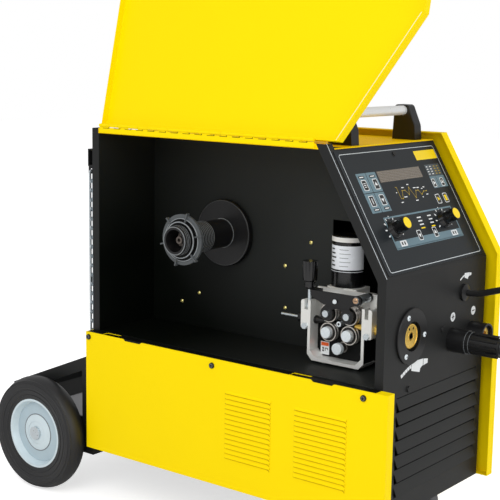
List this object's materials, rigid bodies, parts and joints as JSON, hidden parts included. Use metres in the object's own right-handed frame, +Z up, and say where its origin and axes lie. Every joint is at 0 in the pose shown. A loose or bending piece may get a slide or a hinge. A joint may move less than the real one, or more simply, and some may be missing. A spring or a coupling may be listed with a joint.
{
  "type": "compact wire-feed welding machine",
  "caption": "Wheeled welding power source with a built-in wire feeder: open spool bay with a hub and a geared roll drive, hinged lid, sloping control face, and a bottle trolley.",
  "frame": {"origin": "on the floor, under the middle of the machine without its polarity lead", "axes": "+X towards the control face, +Y towards the far side cover, +Z up"},
  "size_m": [1.0898, 0.412, 1.0236],
  "materials": {
    "yellow_paint": "semi-gloss powder coat",
    "black_paint": "fine textured powder coat",
    "zinc_steel": "bright zinc plate",
    "aluminium_tube": "satin tube",
    "cast_aluminium": "fine cast",
    "black_plastic": "moulded",
    "grey_plastic": "moulded",
    "overlay_print": "printed polyester film",
    "window_plastic": "tinted clear plastic",
    "brass": "turned brass",
    "machined_steel": "turned and hobbed steel",
    "motor_black": "smooth black",
    "lead_rubber": "flexible jacket",
    "tyre_rubber": "solid rubber tyre",
    "caster_rubber": "grey rubber tread"
  },
  "bodies": {
    "root": {"base_tray": "black_paint", "rear_panel": "black_paint", "bay_liner": "black_paint", "power_module": "cast_aluminium", "front_panel": "black_paint", "front_grille": "black_plastic", "top_cover": "yellow_paint", "far_side_cover": "yellow_paint", "near_side_panel": "yellow_paint", "cover_screws": "black_paint", "lid_hinge": "yellow_paint", "handle_tube": "aluminium_tube", "handle_brackets": "black_plastic", "control_overlay": "overlay_print", "display_window": "window_plastic", "torch_flange": "black_plastic", "torch_connector": "brass", "power_sockets": "black_plastic", "socket_inserts": "brass", "lead_grommet": "black_plastic", "polarity_lead": "lead_rubber", "lead_plug": "black_plastic", "mains_gland": "black_plastic", "gas_inlet": "brass", "chain_bracket": "black_paint", "hub_axle": "zinc_steel", "drive_frame": "cast_aluminium", "gearbox": "cast_aluminium", "motor": "motor_black", "gear_cover": "black_plastic", "drive_hardware": "zinc_steel", "wire_guides": "zinc_steel", "trolley_frame": "black_paint", "axle": "zinc_steel"},
    "lid": {"lid": "yellow_paint"},
    "lid_latch_rear": {"lid_latch_rear": "black_plastic"},
    "lid_latch_front": {"lid_latch_front": "black_plastic"},
    "knob_left": {"knob_left": "black_plastic"},
    "knob_right": {"knob_right": "black_plastic"},
    "chain": {"chain": "zinc_steel"},
    "spool_hub": {"spool_hub": "black_plastic"},
    "hub_lock_ring": {"hub_lock_ring": "grey_plastic"},
    "drive_gear": {"drive_gear": "machined_steel"},
    "lower_roll_left": {"lower_roll_left": "machined_steel"},
    "lower_roll_right": {"lower_roll_right": "machined_steel"},
    "upper_roll_left": {"upper_roll_left": "machined_steel"},
    "upper_roll_right": {"upper_roll_right": "machined_steel"},
    "pressure_arm": {"pressure_arm": "black_plastic"},
    "roll_rocker": {"roll_rocker": "black_plastic", "arm_pins": "zinc_steel"},
    "tension_rod": {"tension_rod": "zinc_steel"},
    "tension_knob": {"tension_knob": "black_plastic"},
    "wheel_near": {"tyre_near": "tyre_rubber", "rim_near": "zinc_steel"},
    "wheel_far": {"tyre_far": "tyre_rubber", "rim_far": "zinc_steel"},
    "caster_fork_near": {"caster_fork_near": "zinc_steel"},
    "caster_fork_far": {"caster_fork_far": "zinc_steel"},
    "caster_wheel_near": {"caster_wheel_near": "caster_rubber"},
    "caster_wheel_far": {"caster_wheel_far": "caster_rubber"}
  },
  "joints": [
    {"name": "lid_swing", "type": "hinge", "parent": "root", "child": "lid", "pos_m": [-0.195, -0.1562, 0.671], "axis": [1, 0, 0], "range_deg": [0, 192.6]},
    {"name": "latch_rear_slide", "type": "slide", "parent": "lid", "child": "lid_latch_rear", "axis": [0, 0.2181, 0.9759], "range_m": [0, 0.008]},
    {"name": "latch_front_slide", "type": "slide", "parent": "lid", "child": "lid_latch_front", "axis": [0, 0.2181, 0.9759], "range_m": [0, 0.008]},
    {"name": "knob_left_turn", "type": "hinge", "parent": "root", "child": "knob_left", "pos_m": [0.35518, -0.0793, 0.53652], "axis": [0.8614, 0, 0.508], "continuous": true},
    {"name": "knob_right_turn", "type": "hinge", "parent": "root", "child": "knob_right", "pos_m": [0.35518, 0.0723, 0.53652], "axis": [0.8614, 0, 0.508], "continuous": true},
    {"name": "chain_swing", "type": "hinge", "parent": "root", "child": "chain", "pos_m": [-0.218, -0.15, 0.59072], "axis": [0, 1, 0], "range_deg": [0, 60]},
    {"name": "spool_hub_spin", "type": "hinge", "parent": "root", "child": "spool_hub", "pos_m": [-0.022, -0.086, 0.487], "axis": [0, 1, 0], "continuous": true},
    {"name": "lock_ring_turn", "type": "hinge", "parent": "spool_hub", "child": "hub_lock_ring", "pos_m": [-0.022, -0.132, 0.487], "axis": [0, 1, 0], "continuous": true},
    {"name": "drive_gear_spin", "type": "hinge", "parent": "root", "child": "drive_gear", "pos_m": [0.2655, -0.068, 0.3384], "axis": [0, 1, 0], "continuous": true},
    {"name": "lower_left_spin", "type": "hinge", "parent": "root", "child": "lower_roll_left", "pos_m": [0.246, -0.081, 0.3625], "axis": [0, 1, 0], "continuous": true},
    {"name": "lower_right_spin", "type": "hinge", "parent": "root", "child": "lower_roll_right", "pos_m": [0.285, -0.081, 0.3625], "axis": [0, 1, 0], "continuous": true},
    {"name": "rod_swing", "type": "hinge", "parent": "root", "child": "tension_rod", "pos_m": [0.2087, -0.087, 0.4], "axis": [1, 0, 0], "range_deg": [0, 80]},
    {"name": "knob_screw", "type": "hinge", "parent": "tension_rod", "child": "tension_knob", "pos_m": [0.2087, -0.087, 0.448], "axis": [0, 0, 1], "continuous": true},
    {"name": "arm_lift", "type": "hinge", "parent": "root", "child": "pressure_arm", "pos_m": [0.305, -0.081, 0.423], "axis": [0, 1, 0], "range_deg": [0, 16]},
    {"name": "rocker_tilt", "type": "hinge", "parent": "pressure_arm", "child": "roll_rocker", "pos_m": [0.2655, -0.092, 0.416], "axis": [0, 1, 0], "range_deg": [-16, 0]},
    {"name": "upper_left_spin", "type": "hinge", "parent": "roll_rocker", "child": "upper_roll_left", "pos_m": [0.246, -0.081, 0.3935], "axis": [0, 1, 0], "continuous": true},
    {"name": "upper_right_spin", "type": "hinge", "parent": "roll_rocker", "child": "upper_roll_right", "pos_m": [0.285, -0.081, 0.3935], "axis": [0, 1, 0], "continuous": true},
    {"name": "wheel_near_spin", "type": "hinge", "parent": "root", "child": "wheel_near", "pos_m": [-0.319, -0.186, 0.104], "axis": [0, 1, 0], "continuous": true},
    {"name": "wheel_far_spin", "type": "hinge", "parent": "root", "child": "wheel_far", "pos_m": [-0.319, 0.186, 0.104], "axis": [0, 1, 0], "continuous": true},
    {"name": "caster_swivel_near", "type": "hinge", "parent": "root", "child": "caster_fork_near", "pos_m": [0.325, -0.122, 0.09], "axis": [0, 0, 1], "continuous": true},
    {"name": "caster_roll_near", "type": "hinge", "parent": "caster_fork_near", "child": "caster_wheel_near", "pos_m": [0.299, -0.122, 0.0375], "axis": [0, 1, 0], "continuous": true},
    {"name": "caster_swivel_far", "type": "hinge", "parent": "root", "child": "caster_fork_far", "pos_m": [0.325, 0.122, 0.09], "axis": [0, 0, 1], "continuous": true},
    {"name": "caster_roll_far", "type": "hinge", "parent": "caster_fork_far", "child": "caster_wheel_far", "pos_m": [0.299, 0.122, 0.0375], "axis": [0, 1, 0], "continuous": true}
  ],
  "couplings": [
    {"joint": "lower_left_spin", "follows": "drive_gear_spin", "ratio": -1},
    {"joint": "lower_right_spin", "follows": "drive_gear_spin", "ratio": -1},
    {"joint": "upper_left_spin", "follows": "drive_gear_spin", "ratio": 1},
    {"joint": "upper_right_spin", "follows": "drive_gear_spin", "ratio": 1},
    {"joint": "arm_lift", "follows": "rod_swing", "ratio": 0.2},
    {"joint": "rocker_tilt", "follows": "rod_swing", "ratio": -0.2}
  ]
}
